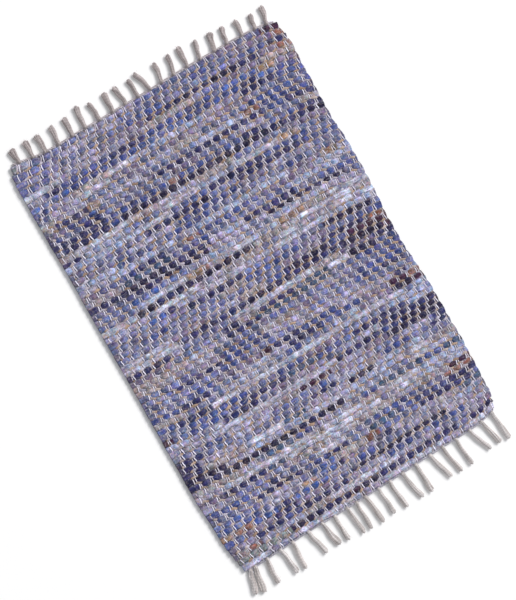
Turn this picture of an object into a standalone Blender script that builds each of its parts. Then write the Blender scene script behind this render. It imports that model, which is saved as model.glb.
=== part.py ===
"""Rag rug lying flat: one woven cloth, with a comb of knotted warp ends along each end.

Metres, +Z up. The rug's width runs along X and its length along Y, and the end with the
shorter tassels points to +Y. The origin is the middle of the whole rug's footprint, on
the surface that it lies on.
"""

import math

import bmesh
import bpy

MM = 0.001

WOVEN_WIDTH = 0.600  # from corner to corner, across the warp
WOVEN_LENGTH = 0.870  # from the first rag row to the last
CLOTH_THICKNESS = 0.0080  # mean, over the crowns of the rag rows
RIM_THICKNESS = 0.0058  # where the rags turn back at a selvedge
BAND_SWELL = 0.0005  # a band of thick rags stands this much above the mean
BAND_LENGTH = 0.118  # along the rug, from one band of thick rags to the next
SIDE_SWELL = 0.0003  # the cloth rises and falls this much across its width
CELLS_ACROSS = 16
CELLS_ALONG = 36
RIM_SHARE = 0.012  # of the width or length, taken by the sloping rim

HEADER_WIDTH = 0.0045  # the cord that the warp ends are knotted around
HEADER_THICKNESS = 0.0056
TASSEL_THICKNESS = 0.0066
TASSEL_ROOT_WIDTH = 0.0080
TASSEL_STEPS = 5  # stations along a tassel
TASSEL_BEVEL = 0.0016  # slope round the top face of a comb
TIP_TAPER = 0.62  # width of a tassel's blunt end, as a share of its widest
TIP_LENGTH = 0.0035  # the last stretch, over which it narrows
GAP = 0.0003  # between one piece and the next

# How far each selvedge stands outside the straight line between its corners.
SELVEDGES = [
    # share down the rug, left mm, right mm
    (0.00, 4, -8),
    (0.015, 11, -5),
    (0.035, 15, -1),
    (0.06, 16, 1),
    (0.10, 16, -1),
    (0.17, 16, -1),
    (0.25, 15, -2),
    (0.28, 15, 1),
    (0.33, 16, 3),
    (0.42, 17, 3),
    (0.49, 17, -1),
    (0.55, 17, -1),
    (0.60, 18, 1),
    (0.63, 18, 4),
    (0.69, 19, 8),
    (0.75, 19, 8),
    (0.81, 20, 10),
    (0.87, 17, 9),
    (0.93, 15, 8),
    (0.96, 11, 7),
    (0.985, 7, 2),
    (1.00, 3, -2),
]

# How far each woven end stands outside the straight line between its corners.
ENDS = [
    # share across the rug, top mm, bottom mm
    (0.00, -3, 5),
    (0.05, -7, 5),
    (0.10, -11, 5),
    (0.17, -11, 5),
    (0.24, -9, 5),
    (0.32, -8, 7),
    (0.42, -6, 9),
    (0.52, -4, 10),
    (0.58, -2, 11),
    (0.68, 0, 11),
    (0.78, 1, 12),
    (0.85, 2, 13),
    (0.92, 1, 13),
    (0.97, -2, 9),
    (1.00, -6, 5),
]

TOP_TASSELS = [
    # share across, lean at the root in degrees, turn to the tip in degrees, length mm, tip width mm
    (0.024, 2, -6, 27, 17),
    (0.072, 0, -2, 33, 13),
    (0.114, 4, -8, 34, 14),
    (0.162, 14, -20, 36, 13),
    (0.214, 18, -28, 37, 13),
    (0.265, 3, 0, 43, 12),
    (0.316, 10, -28, 37, 11),
    (0.368, 6, -2, 39, 12),
    (0.417, 9, -30, 39, 11),
    (0.466, 6, -18, 36, 10),
    (0.515, -10, -12, 43, 10),
    (0.557, 18, -24, 39, 11),
    (0.603, 26, -26, 40, 11),
    (0.659, 8, -6, 41, 14),
    (0.708, 20, -10, 37, 12),
    (0.764, 20, -10, 36, 16),
    (0.813, 22, -18, 34, 12),
    (0.875, 12, -20, 31, 12),
    (0.923, 26, -28, 29, 13),
    (0.967, 27, -27, 36, 13),
]

BOTTOM_TASSELS = [
    (0.014, -20, 8, 46, 12),
    (0.031, -6, -8, 50, 14),
    (0.077, -6, 4, 50, 12),
    (0.126, 19, -18, 55, 11),
    (0.176, -2, 0, 56, 10),
    (0.236, 13, 0, 55, 10),
    (0.290, 12, -2, 53, 14),
    (0.338, 1, 6, 54, 10),
    (0.386, 11, -7, 58, 10),
    (0.424, 3, -4, 58, 10),
    (0.458, 14, -9, 61, 10),
    (0.512, 6, -1, 58, 11),
    (0.558, 2, 9, 61, 11),
    (0.609, 8, 9, 62, 11),
    (0.663, 3, 3, 62, 11),
    (0.720, 17, 2, 61, 11),
    (0.772, 10, 3, 61, 10),
    (0.828, 7, -4, 60, 10),
    (0.883, 20, 2, 58, 10),
    (0.934, 24, -16, 57, 12),
    (0.983, 10, -7, 63, 12),
]

# name: base colour, roughness
FINISHES = {
    "rag_weave": ((0.205, 0.223, 0.407, 1.0), 0.92),
    "cotton_fringe": ((0.546, 0.485, 0.445, 1.0), 0.95),
}


def smooth_read(rows, at, column):
    """Value of a column of the table at a share, on a smooth curve through its rows."""
    last = len(rows) - 2
    i = next((k for k in range(last + 1) if at <= rows[k + 1][0]), last)
    lower, upper = rows[i], rows[i + 1]
    before, after = rows[max(i - 1, 0)], rows[min(i + 2, len(rows) - 1)]
    span = upper[0] - lower[0]
    slope_in = (upper[column] - before[column]) / (upper[0] - before[0]) * span
    slope_out = (after[column] - lower[column]) / (after[0] - lower[0]) * span
    u = (at - lower[0]) / span
    return (
        (2 * u**3 - 3 * u**2 + 1) * lower[column]
        + (u**3 - 2 * u**2 + u) * slope_in
        + (3 * u**2 - 2 * u**3) * upper[column]
        + (u**3 - u**2) * slope_out
    )


def cloth_point(across, down):
    """Place on the cloth, from its left selvedge (0) to its right (1) and its top end (0) to its bottom (1)."""
    left = -WOVEN_WIDTH / 2 - smooth_read(SELVEDGES, down, 1) * MM
    right = WOVEN_WIDTH / 2 + smooth_read(SELVEDGES, down, 2) * MM
    top = WOVEN_LENGTH / 2 + smooth_read(ENDS, across, 1) * MM
    bottom = -WOVEN_LENGTH / 2 - smooth_read(ENDS, across, 2) * MM
    return left + (right - left) * across, top + (bottom - top) * down


def cloth_height(across, down):
    """Top of the cloth inside its rim: bands of thick and thin rags, with a slow swell across them."""
    x, y = cloth_point(across, down)
    bands = BAND_SWELL * math.sin(math.tau * y / BAND_LENGTH)
    return CLOTH_THICKNESS + bands + SIDE_SWELL * math.sin(math.tau * x / WOVEN_WIDTH + 1.0)


def shares(cells):
    """Even shares from 0 to 1, with one more line just inside each rim."""
    inner = [i / cells for i in range(1, cells)]
    return [0.0, RIM_SHARE, *inner, 1 - RIM_SHARE, 1.0]


def make_object(name, bm, finish):
    """A closed mesh object with its own material."""
    bmesh.ops.recalc_face_normals(bm, faces=bm.faces)
    mesh = bpy.data.meshes.new(name)
    bm.to_mesh(mesh)
    bm.free()
    colour, roughness = FINISHES[finish]
    material = bpy.data.materials.new(finish)
    material.use_nodes = True
    shader = material.node_tree.nodes["Principled BSDF"]
    shader.inputs["Base Color"].default_value = colour
    shader.inputs["Roughness"].default_value = roughness
    mesh.materials.append(material)
    made = bpy.data.objects.new(name, mesh)
    bpy.context.scene.collection.objects.link(made)
    return made


def make_cloth():
    """The woven cloth: a flat underside, a low wavering top and a rim that slopes down to its edges."""
    columns, rows = shares(CELLS_ACROSS), shares(CELLS_ALONG)
    bm = bmesh.new()
    grid = []
    for down in rows:
        line = []
        for across in columns:
            on_edge = across in (0.0, 1.0) or down in (0.0, 1.0)
            height = RIM_THICKNESS if on_edge else cloth_height(across, down)
            line.append(bm.verts.new((*cloth_point(across, down), height)))
        grid.append(line)
    for upper, lower in zip(grid, grid[1:]):
        for i in range(len(columns) - 1):
            bm.faces.new((upper[i], lower[i], lower[i + 1], upper[i + 1]))
    left = [line[0] for line in grid]
    right = [line[-1] for line in reversed(grid)]
    edge = left[:-1] + grid[-1][:-1] + right[:-1] + grid[0][:0:-1]
    base = [bm.verts.new((v.co.x, v.co.y, 0.0)) for v in edge]
    for i, vert in enumerate(edge):
        j = (i + 1) % len(edge)
        bm.faces.new((vert, base[i], base[j], edge[j]))
    bm.faces.new(base)
    return make_object("rug_cloth", bm, "rag_weave")


def tassel_sides(root, lean, turn, length, tip_width):
    """Left and right outline of a tassel that leaves its root upwards, leaning to the right by lean degrees."""
    x, y = root
    half_root, half_tip = TASSEL_ROOT_WIDTH / 2, tip_width / 2
    left, right = [(x - half_root, y)], [(x + half_root, y)]
    shaft = length - TIP_LENGTH
    spots = [(shaft * k / TASSEL_STEPS, 1.0) for k in range(1, TASSEL_STEPS + 1)] + [(length, TIP_TAPER)]
    gone = 0.0
    for spot, taper in spots:
        heading = math.radians(lean + turn * (spot + gone) / (2 * length))
        x += (spot - gone) * math.sin(heading)
        y += (spot - gone) * math.cos(heading)
        gone = spot
        across = math.radians(lean + turn * spot / length)
        half = (half_root + (half_tip - half_root) * spot / length) * taper
        left.append((x - half * math.cos(across), y + half * math.sin(across)))
        right.append((x + half * math.cos(across), y - half * math.sin(across)))
    return left, right


def make_comb(name, tassels, down, outward):
    """The header cord with its tassels, beyond the woven end at down, pointing to outward (1 up, -1 down)."""
    columns = shares(CELLS_ACROSS)
    back = [cloth_point(across, down) for across in columns]
    back = [(x, y * outward + GAP) for x, y in back]
    outline = list(back)
    outline.append((back[-1][0], back[-1][1] + HEADER_WIDTH))
    for across, lean, turn, length, tip_width in reversed(tassels):
        x, y = cloth_point(across, down)
        root = (x, y * outward + GAP + HEADER_WIDTH)
        left, right = tassel_sides(root, lean, turn, length * MM, tip_width * MM)
        outline += right + left[::-1]
    outline.append((back[0][0], back[0][1] + HEADER_WIDTH))
    bm = bmesh.new()
    verts = [bm.verts.new((x, y * outward, 0.0)) for x, y in outline]
    under = bm.faces.new(verts)
    wall_height = (HEADER_THICKNESS + TASSEL_THICKNESS) / 2 - TASSEL_BEVEL
    lifted = bmesh.ops.extrude_face_region(bm, geom=[under], use_keep_orig=True)["geom"]
    for vert in (item for item in lifted if isinstance(item, bmesh.types.BMVert)):
        vert.co.z = wall_height
    roof = next(item for item in lifted if isinstance(item, bmesh.types.BMFace))
    bmesh.ops.recalc_face_normals(bm, faces=bm.faces)
    bmesh.ops.inset_region(bm, faces=[roof], thickness=TASSEL_BEVEL, depth=TASSEL_BEVEL, use_even_offset=False)
    return make_object(name, bm, "cotton_fringe")


def centre_footprint(objects):
    """Moves every mesh so that the middle of the rug's footprint is the origin."""
    points = [v.co for made in objects for v in made.data.vertices]
    middle = [(min(p[k] for p in points) + max(p[k] for p in points)) / 2 for k in (0, 1)]
    for made in objects:
        for vert in made.data.vertices:
            vert.co.x -= middle[0]
            vert.co.y -= middle[1]


for old in list(bpy.data.objects):
    bpy.data.objects.remove(old)

rug = [
    make_cloth(),
    make_comb("fringe_top", TOP_TASSELS, 0.0, 1),
    make_comb("fringe_bottom", BOTTOM_TASSELS, 1.0, -1),
]
centre_footprint(rug)
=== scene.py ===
import math

import bpy
import numpy as np
from mathutils import Matrix, Vector


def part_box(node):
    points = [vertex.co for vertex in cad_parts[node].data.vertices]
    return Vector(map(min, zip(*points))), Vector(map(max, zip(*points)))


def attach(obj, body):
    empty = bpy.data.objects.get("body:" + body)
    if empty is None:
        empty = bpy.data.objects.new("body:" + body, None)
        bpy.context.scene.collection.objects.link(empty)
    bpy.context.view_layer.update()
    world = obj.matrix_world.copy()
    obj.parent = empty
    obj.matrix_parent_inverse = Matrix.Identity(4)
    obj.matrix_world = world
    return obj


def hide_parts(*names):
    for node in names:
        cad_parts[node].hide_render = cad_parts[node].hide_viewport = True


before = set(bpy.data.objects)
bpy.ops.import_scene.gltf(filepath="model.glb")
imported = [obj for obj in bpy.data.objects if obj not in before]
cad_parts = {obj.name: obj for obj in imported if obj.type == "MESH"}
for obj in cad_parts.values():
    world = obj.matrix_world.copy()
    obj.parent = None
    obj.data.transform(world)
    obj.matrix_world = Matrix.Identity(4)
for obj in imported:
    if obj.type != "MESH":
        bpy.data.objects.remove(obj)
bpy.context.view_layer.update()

mm = 0.001
fullTurn = 2 * math.pi

# Outline of the rug lying flat, with +Y to its top end. The CAD cloth has the same one.
rugShape = {
    "wovenWidth": 0.600,      # from corner to corner
    "wovenLength": 0.870,     # first rag row to last
    "headerGap": 0.0003,      # between the woven end and its header cord
    "headerWidth": 0.0045,
    "edgeSteps": 400,         # places looked at along an edge for the outline's box
    # share down the rug, left and right selvedge in mm outside the line between the corners
    "selvedges": [
        (0.00, 4, -8),
        (0.015, 11, -5),
        (0.035, 15, -1),
        (0.06, 16, 1),
        (0.10, 16, -1),
        (0.17, 16, -1),
        (0.25, 15, -2),
        (0.28, 15, 1),
        (0.33, 16, 3),
        (0.42, 17, 3),
        (0.49, 17, -1),
        (0.55, 17, -1),
        (0.60, 18, 1),
        (0.63, 18, 4),
        (0.69, 19, 8),
        (0.75, 19, 8),
        (0.81, 20, 10),
        (0.87, 17, 9),
        (0.93, 15, 8),
        (0.96, 11, 7),
        (0.985, 7, 2),
        (1.00, 3, -2),
    ],
    # share across the rug, top and bottom end in mm outside the line between the corners
    "ends": [
        (0.00, -3, 5),
        (0.05, -7, 5),
        (0.10, -11, 5),
        (0.17, -11, 5),
        (0.24, -9, 5),
        (0.32, -8, 7),
        (0.42, -6, 9),
        (0.52, -4, 10),
        (0.58, -2, 11),
        (0.68, 0, 11),
        (0.78, 1, 12),
        (0.85, 2, 13),
        (0.92, 1, 13),
        (0.97, -2, 9),
        (1.00, -6, 5),
    ],
}

# How the rug is woven: every rag row goes over two warp ends and under two, one end further along each row.
weave = {
    "warpEnds": 112,
    "ragRows": 71,
    "seed": 41,
    "middleHeight": 4.0 * mm,
    "ragLift": 1.15 * mm,           # rise and fall of a rag strip
    "ragHalfHeight": 2.45 * mm,
    "betweenEnds": 0.58,            # of its neighbours' lifts, where a strip passes between two warp ends
    "proudStrips": 0.80,            # how far pale strips stand out over the warp
    "proudPaleness": (0.42, 0.14),  # where that starts, and how much paler makes it full
    "proudPatches": (0.8, 9),       # how uneven it is, and the stations to a patch
    "proudLift": 0.75,
    "tanRoom": 0.2 * mm,            # that a tan pick takes from the rag row at each side of it
    "leftLoops": 4.2 * mm,          # from the selvedge to where the warp starts
    "rightLoops": 1.2 * mm,
    "rowUnevenness": (0.13, 22),    # of a row's height, and the stations to a patch
    "thinStrip": 0.58,              # height of a thin strip against a full one
    "floorSkin": 0.15 * mm,         # nothing goes lower than this
    # the diagonal runs left going down the rug from the first row named, then right, and so on
    "diagonalTurns": [8, 13, 22, 27, 37, 45, 55, 63],
    # how far the rows droop at the selvedges: share down the rug, left mm, right mm
    "droop": [
        (0.00, 0, 0),
        (0.05, 11, 3),
        (0.10, 13, 6),
        (0.20, 6, 6),
        (0.35, 5, 8),
        (0.47, 4, 10),
        (0.60, -5, 10),
        (0.72, -10, 7),
        (0.85, -7, 9),
        (0.95, -3, 3),
        (1.00, 0, 0),
    ],
    "droopReach": 0.22,             # share of the width that droops at each side
    "steadySelvedge": 10,           # how soon the slants start inside a selvedge
    # where the warp slants: share across, share down, reach across, reach down, and the degrees
    # that it moves to the right going down
    "slants": [
        (0.93, 0.96, 0.13, 0.08, 17),
        (0.05, 0.08, 0.10, 0.10, -15),
        (0.95, 0.06, 0.12, 0.08, -14),
        (0.08, 0.70, 0.10, 0.08, 12),
    ],
}

# Colours of the torn cloth, as light reflects from it.
clothColours = {
    "ink": (0.011, 0.008, 0.038),
    "navy": (0.022, 0.023, 0.100),
    "denim": (0.042, 0.066, 0.240),
    "blue": (0.048, 0.108, 0.385),
    "teal": (0.040, 0.080, 0.165),
    "steel": (0.108, 0.127, 0.275),
    "periwinkle": (0.130, 0.152, 0.375),
    "mauve": (0.165, 0.130, 0.235),
    "lilac": (0.310, 0.295, 0.470),
    "sky": (0.290, 0.355, 0.570),
    "chalk": (0.475, 0.485, 0.620),
    "sage": (0.200, 0.230, 0.220),
    "sand": (0.330, 0.275, 0.285),
    "ochre": (0.330, 0.195, 0.110),
    "rust": (0.235, 0.095, 0.062),
    "plum": (0.045, 0.012, 0.034),
}

# The weaver's list of rags, a line for each row from the top end. Each cloth is followed by the share
# of the width where it ends, and a minus marks a strip torn thin.
ragChart = [
    "lilac .05 steel .24 lilac .44 periwinkle .56 steel .76 mauve .84 steel .92 plum 1",
    "periwinkle .09 steel .16 lilac .38 denim .43 steel .64 denim .72 steel .82 mauve .95 rust 1",
    "periwinkle .12 steel .38 denim .53 steel .70 periwinkle .84 denim .92 navy 1",
    "denim .09 lilac .30 mauve .45 navy- .70 ink .81 navy .88 mauve .95 rust 1",
    "chalk .12 lilac .36 mauve .43 sand .62 periwinkle .74 mauve .88 sand 1",
    "lilac .06 navy .12 denim .30 navy .42 denim .72 blue .86 ochre .92 mauve 1",
    "blue .14 denim .36 blue .56 denim .78 navy .84 blue .92 denim 1",
    "denim .05 lilac .14 sand .26 chalk .34 sky .62 lilac .77 navy .90 denim 1",
    "steel .06 lilac .16 chalk .26 mauve .36 steel .46 mauve .58 lilac .66 mauve .81 steel 1",
    "sand .06 lilac .16 steel .34 lilac .48 sand .58 steel .78 denim 1",
    "sand .05 navy .16 ochre .20 lilac .34 steel .56 sky .74 rust .80 denim 1",
    "mauve .07 denim .20 steel .38 navy .62 navy .80 denim .90 navy 1",
    "denim .05 steel .12 navy .18 steel .44 mauve .55 steel .70 lilac .80 steel .93 sand 1",
    "navy .19 denim .42 rust .46 denim .70 navy .78 periwinkle .86 denim .92 navy 1",
    "steel .03 navy .20 denim .24 ink .80 navy .94 ink 1",
    "sand .08 chalk .24 sand .36 chalk .42 lilac .50 sand .64 periwinkle .84 mauve 1",
    "navy- .08 sky .25 steel .36 chalk .50 sky .64 chalk .80 ochre .88 steel 1",
    "sky .28 chalk .37 denim .52 navy .74 denim .90 steel 1",
    "steel .28 navy .46 ink .52 periwinkle .62 navy .88 denim 1",
    "mauve .10 steel .20 lilac .38 denim .62 mauve .74 lilac .90 steel 1",
    "sky .16 denim .26 steel .32 denim .48 steel .76 denim .85 steel 1",
    "lilac .10 sky .30 lilac .40 sky .78 mauve- .90 ochre .96 sky 1",
    "mauve .05 denim .18 navy .30 steel .36 rust- .42 denim .64 mauve .86 sky 1",
    "sand .12 teal .30 denim .44 steel .58 periwinkle .76 sky .94 steel 1",
    "navy .12 ink .26 navy .44 lilac .50 sky .57 navy .76 steel .86 denim 1",
    "steel .10 navy .24 ink- .42 lilac .64 ink- .78 navy- .86 ink- .94 steel 1",
    "periwinkle .12 blue .24 periwinkle .34 lilac .40 sky .54 steel .60 sky .84 lilac 1",
    "steel .12 sky .16 chalk .32 ochre .40 chalk .56 sky .66 ochre .76 sand .86 chalk 1",
    "chalk .12 ink .20 navy .30 ink .56 sand .70 chalk .92 sand 1",
    "lilac .16 chalk .34 lilac .44 sand .58 steel .64 chalk .70 lilac .84 chalk 1",
    "steel .06 periwinkle .14 blue .20 navy .25 lilac .40 chalk .50 lilac .60 chalk .80 sky 1",
    "steel .16 periwinkle .24 mauve .28 navy .48 periwinkle .72 steel .79 ink .97 steel 1",
    "steel .12 denim .20 steel .38 sand .47 denim .70 mauve .80 steel .90 denim 1",
    "periwinkle .10 steel .30 periwinkle .46 steel .60 mauve .76 navy- .94 rust- 1",
    "chalk .18 mauve .34 lilac .44 sand .54 denim .62 ink .77 denim .85 plum 1",
    "chalk .19 steel .22 navy .46 ink .60 navy .82 ink .97 plum 1",
    "navy .15 lilac .20 steel .37 chalk .70 sand .80 mauve- .92 navy 1",
    "mauve .14 steel .34 navy .40 sand .46 navy- .60 teal- .74 chalk .82 ink .93 denim 1",
    "sand .18 lilac .33 navy .46 teal- .74 steel .84 denim 1",
    "sand .10 lilac .28 steel .48 denim .56 steel .70 lilac .80 steel .90 denim 1",
    "steel .10 periwinkle .20 mauve .30 denim .44 sand .58 mauve .66 steel .82 denim 1",
    "periwinkle .10 navy- .30 denim .46 lilac .62 periwinkle .80 denim .90 navy .96 steel 1",
    "steel .12 periwinkle .28 denim .36 periwinkle .54 lilac .80 steel 1",
    "steel .14 denim .22 mauve .40 plum .44 navy .55 denim .70 lilac .92 navy .96 sky 1",
    "denim .10 navy .20 steel .30 lilac .50 navy .62 denim .78 mauve .87 plum .95 rust 1",
    "sand .12 steel .24 lilac .30 sky .48 denim .54 steel .66 sky .76 mauve .88 ink .95 plum 1",
    "denim .06 navy .19 chalk .90 sky 1",
    "steel .10 denim .30 steel .40 denim .52 mauve .64 steel .84 sky 1",
    "plum .03 steel .08 denim .30 navy .44 teal .56 denim .70 navy .90 sky 1",
    "sky .10 steel .16 chalk .20 navy .32 steel .38 mauve .56 steel .64 lilac .78 navy 1",
    "lilac .15 chalk .60 navy .79 denim .86 ink 1",
    "steel .10 denim .18 lilac .38 sand .44 plum- .57 lilac .70 mauve .79 ink 1",
    "navy .08 steel .20 lilac .34 periwinkle .50 denim .56 lilac .72 steel .82 lilac .95 navy 1",
    "navy .06 lilac .20 steel .46 navy- .58 sky .68 sand .74 denim .85 steel .94 navy- 1",
    "navy .06 sand .22 chalk .36 teal- .44 lilac .60 ink- .70 sky .88 steel 1",
    "ink .13 lilac .24 sky .50 lilac .58 sky .78 chalk .90 sand 1",
    "navy .10 ink .40 navy .48 ink .57 sky .74 steel .82 chalk .92 sky 1",
    "sand .17 lilac .24 teal .36 denim .44 lilac .62 denim .68 teal .84 denim .94 teal 1",
    "lilac .08 sky .13 chalk .42 sand .46 chalk .60 sand .68 chalk .82 sky 1",
    "mauve .08 navy .25 teal- .32 chalk .66 steel .70 chalk .80 sky 1",
    "lilac .10 periwinkle .22 steel .30 sand .44 chalk .54 sand .70 lilac .80 sand .92 plum- 1",
    "denim .14 periwinkle .22 navy .27 steel .40 chalk .50 steel .62 denim .80 steel .90 rust- 1",
    "steel .14 navy- .34 denim .42 navy- .50 steel .58 teal .70 denim .90 navy 1",
    "blue .10 periwinkle .16 lilac .30 steel .36 blue .44 sand .56 rust .61 periwinkle .78 navy .97 steel 1",
    "blue .14 steel .18 lilac .30 ochre- .36 blue .43 navy .46 mauve- .60 navy .65 lilac .84 sand .92 teal 1",
    "ochre .06 rust .11 blue .20 navy .26 blue .40 lilac .49 denim .58 steel .70 lilac .90 sky 1",
    "denim .08 mauve .17 navy .26 mauve .40 steel .47 ink- .85 lilac .94 mauve 1",
    "mauve .09 navy .20 denim .26 navy .44 lilac .58 denim .70 steel .76 denim .90 lilac 1",
    "sand .05 rust- .10 lilac .26 sand .36 chalk .62 lilac .80 steel .90 mauve 1",
    "sage .20 ink .30 navy .42 plum .46 ink .54 navy .84 steel .90 navy 1",
    "chalk .10 lilac .22 chalk .44 lilac .56 chalk .78 lilac .88 chalk 1",
]

# Tassels: share across the rug, lean at the root in degrees, turn to the tip in degrees, length in mm
# and width of the tip in mm.
tassels = {
    "top": [
        (0.024, 2, -6, 27, 17),
        (0.072, 0, -2, 33, 13),
        (0.114, 4, -8, 34, 14),
        (0.162, 14, -20, 36, 13),
        (0.214, 18, -28, 37, 13),
        (0.265, 3, 0, 43, 12),
        (0.316, 10, -28, 37, 11),
        (0.368, 6, -2, 39, 12),
        (0.417, 9, -30, 39, 11),
        (0.466, 6, -18, 36, 10),
        (0.515, -10, -12, 43, 10),
        (0.557, 18, -24, 39, 11),
        (0.603, 26, -26, 40, 11),
        (0.659, 8, -6, 41, 14),
        (0.708, 20, -10, 37, 12),
        (0.764, 20, -10, 36, 16),
        (0.813, 22, -18, 34, 12),
        (0.875, 12, -20, 31, 12),
        (0.923, 26, -28, 29, 13),
        (0.967, 27, -27, 36, 13),
    ],
    "bottom": [
        (0.014, -20, 8, 46, 12),
        (0.031, -6, -8, 50, 14),
        (0.077, -6, 4, 50, 12),
        (0.126, 19, -18, 55, 11),
        (0.176, -2, 0, 56, 10),
        (0.236, 13, 0, 55, 10),
        (0.290, 12, -2, 53, 14),
        (0.338, 1, 6, 54, 10),
        (0.386, 11, -7, 58, 10),
        (0.424, 3, -4, 58, 10),
        (0.458, 14, -9, 61, 10),
        (0.512, 6, -1, 58, 11),
        (0.558, 2, 9, 61, 11),
        (0.609, 8, 9, 62, 11),
        (0.663, 3, 3, 62, 11),
        (0.720, 17, 2, 61, 11),
        (0.772, 10, 3, 61, 10),
        (0.828, 7, -4, 60, 10),
        (0.883, 20, 2, 58, 10),
        (0.934, 24, -16, 57, 12),
        (0.983, 10, -7, 63, 12),
    ],
}


def smoothRead(rows, at, column):
    # a column of a table, read on a smooth curve through its rows
    table = np.array(rows, float)
    places, values = table[:, 0], table[:, column]
    i = np.clip(np.searchsorted(places, at, side="left") - 1, 0, len(places) - 2)
    before, after = np.maximum(i - 1, 0), np.minimum(i + 2, len(places) - 1)
    span = places[i + 1] - places[i]
    slopeIn = (values[i + 1] - values[before]) / (places[i + 1] - places[before]) * span
    slopeOut = (values[after] - values[i]) / (places[after] - places[i]) * span
    u = (at - places[i]) / span
    return (
        (2 * u**3 - 3 * u**2 + 1) * values[i]
        + (u**3 - 2 * u**2 + u) * slopeIn
        + (3 * u**2 - 2 * u**3) * values[i + 1]
        + (u**3 - u**2) * slopeOut
    )


def flatPoint(across, down):
    # place on the cloth from its left selvedge (0) to its right (1) and its top end (0) to its bottom (1)
    width, length = rugShape["wovenWidth"], rugShape["wovenLength"]
    sides, ends = rugShape["selvedges"], rugShape["ends"]
    left = -width / 2 - smoothRead(sides, down, 1) * mm
    right = width / 2 + smoothRead(sides, down, 2) * mm
    top = length / 2 + smoothRead(ends, across, 1) * mm
    bottom = -length / 2 - smoothRead(ends, across, 2) * mm
    return left + (right - left) * across, top + (bottom - top) * down


def frameShift():
    # from the rug's own layout to its place in the frame
    edge = np.linspace(0, 1, rugShape["edgeSteps"])
    lengthwise = np.concatenate([flatPoint(0 * edge, edge)[0], flatPoint(0 * edge + 1, edge)[0]])
    crosswise = np.concatenate([flatPoint(edge, 0 * edge)[1], flatPoint(edge, 0 * edge + 1)[1]])
    low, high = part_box("rug_cloth")
    return (
        (low[0] + high[0] - lengthwise.min() - lengthwise.max()) / 2,
        (low[1] + high[1] - crosswise.min() - crosswise.max()) / 2,
    )


shiftX, shiftY = frameShift()


def clothPoint(across, down):
    # the same place in the frame
    x, y = flatPoint(across, down)
    return x + shiftX, y + shiftY


def nearness(across, down, place):
    # 1 at a place on the cloth and less away from it: share across, share down, reach across, reach down
    placeAcross, placeDown, reachAcross, reachDown = place
    return np.exp(-(((across - placeAcross) / reachAcross) ** 2) - ((down - placeDown) / reachDown) ** 2)


def settled(across, down):
    # where a crossing really lies once the rows have drooped and the warp has slanted
    moved = np.zeros(np.broadcast(across, down).shape)
    for *place, degrees in weave["slants"]:
        moved += math.tan(math.radians(degrees)) * (down - place[1]) * nearness(across, down, place)
    stretch = rugShape["wovenLength"] / rugShape["wovenWidth"]
    inside = np.minimum(1, weave["steadySelvedge"] * across * (1 - across))
    drooped = 0
    for column, fromSelvedge in ((1, across), (2, 1 - across)):
        near = np.maximum(0, 1 - fromSelvedge / weave["droopReach"]) ** 2
        drooped = drooped + near * smoothRead(weave["droop"], down, column)
    return across + moved * stretch * inside, down + drooped * mm / rugShape["wovenLength"]


def softNoise(rng, rows, count, spacing):
    # rows of numbers from -1 to 1 that change slowly, with a fresh one every spacing stations
    knots = rng.uniform(-1, 1, (rows, int(count / spacing) + 2))
    at = np.arange(count) / spacing
    i = at.astype(int)
    u = at - i
    u = u * u * (3 - 2 * u)
    return knots[:, i] * (1 - u) + knots[:, i + 1] * u


def patches(rng, rows, count, kind):
    # soft patches from 0 to 1: stations to a patch, how sharp they are, how much of the length stays bare
    spacing, sharpness, bare = kind
    return np.clip(softNoise(rng, rows, count, spacing) * sharpness - bare, 0, 1)


def clothsAt(line, shares):
    # colour and thickness of a rag row at each share of the width, from its line in the chart
    words = line.split()
    names, stops = words[0::2], [float(w) for w in words[1::2]]
    picks = np.searchsorted(np.array(stops[:-1]), shares)
    colours = np.array([clothColours[n.rstrip("-")] for n in names])[picks]
    thick = np.array([weave["thinStrip"] if n.endswith("-") else 1.0 for n in names])[picks]
    return colours, thick


def crossingKinds(warpOver):
    # for each end over a rag row: 1 where it has just come up, -1 where it is about to go down, else 0
    above = np.vstack([~warpOver[1], warpOver[:-1]])
    below = np.vstack([warpOver[1:], ~warpOver[-2]])
    comingUp = warpOver & ~above & below
    goingDown = warpOver & above & ~below
    return comingUp.astype(int) - goingDown.astype(int)


def diagonalSteps():
    # how many ends the pairs have moved along by each rag row
    steps, place, step = [], 0, 1
    for row in range(weave["ragRows"]):
        if row in weave["diagonalTurns"]:
            step = -step
        steps.append(place)
        place += step
    return np.array(steps)


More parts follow.
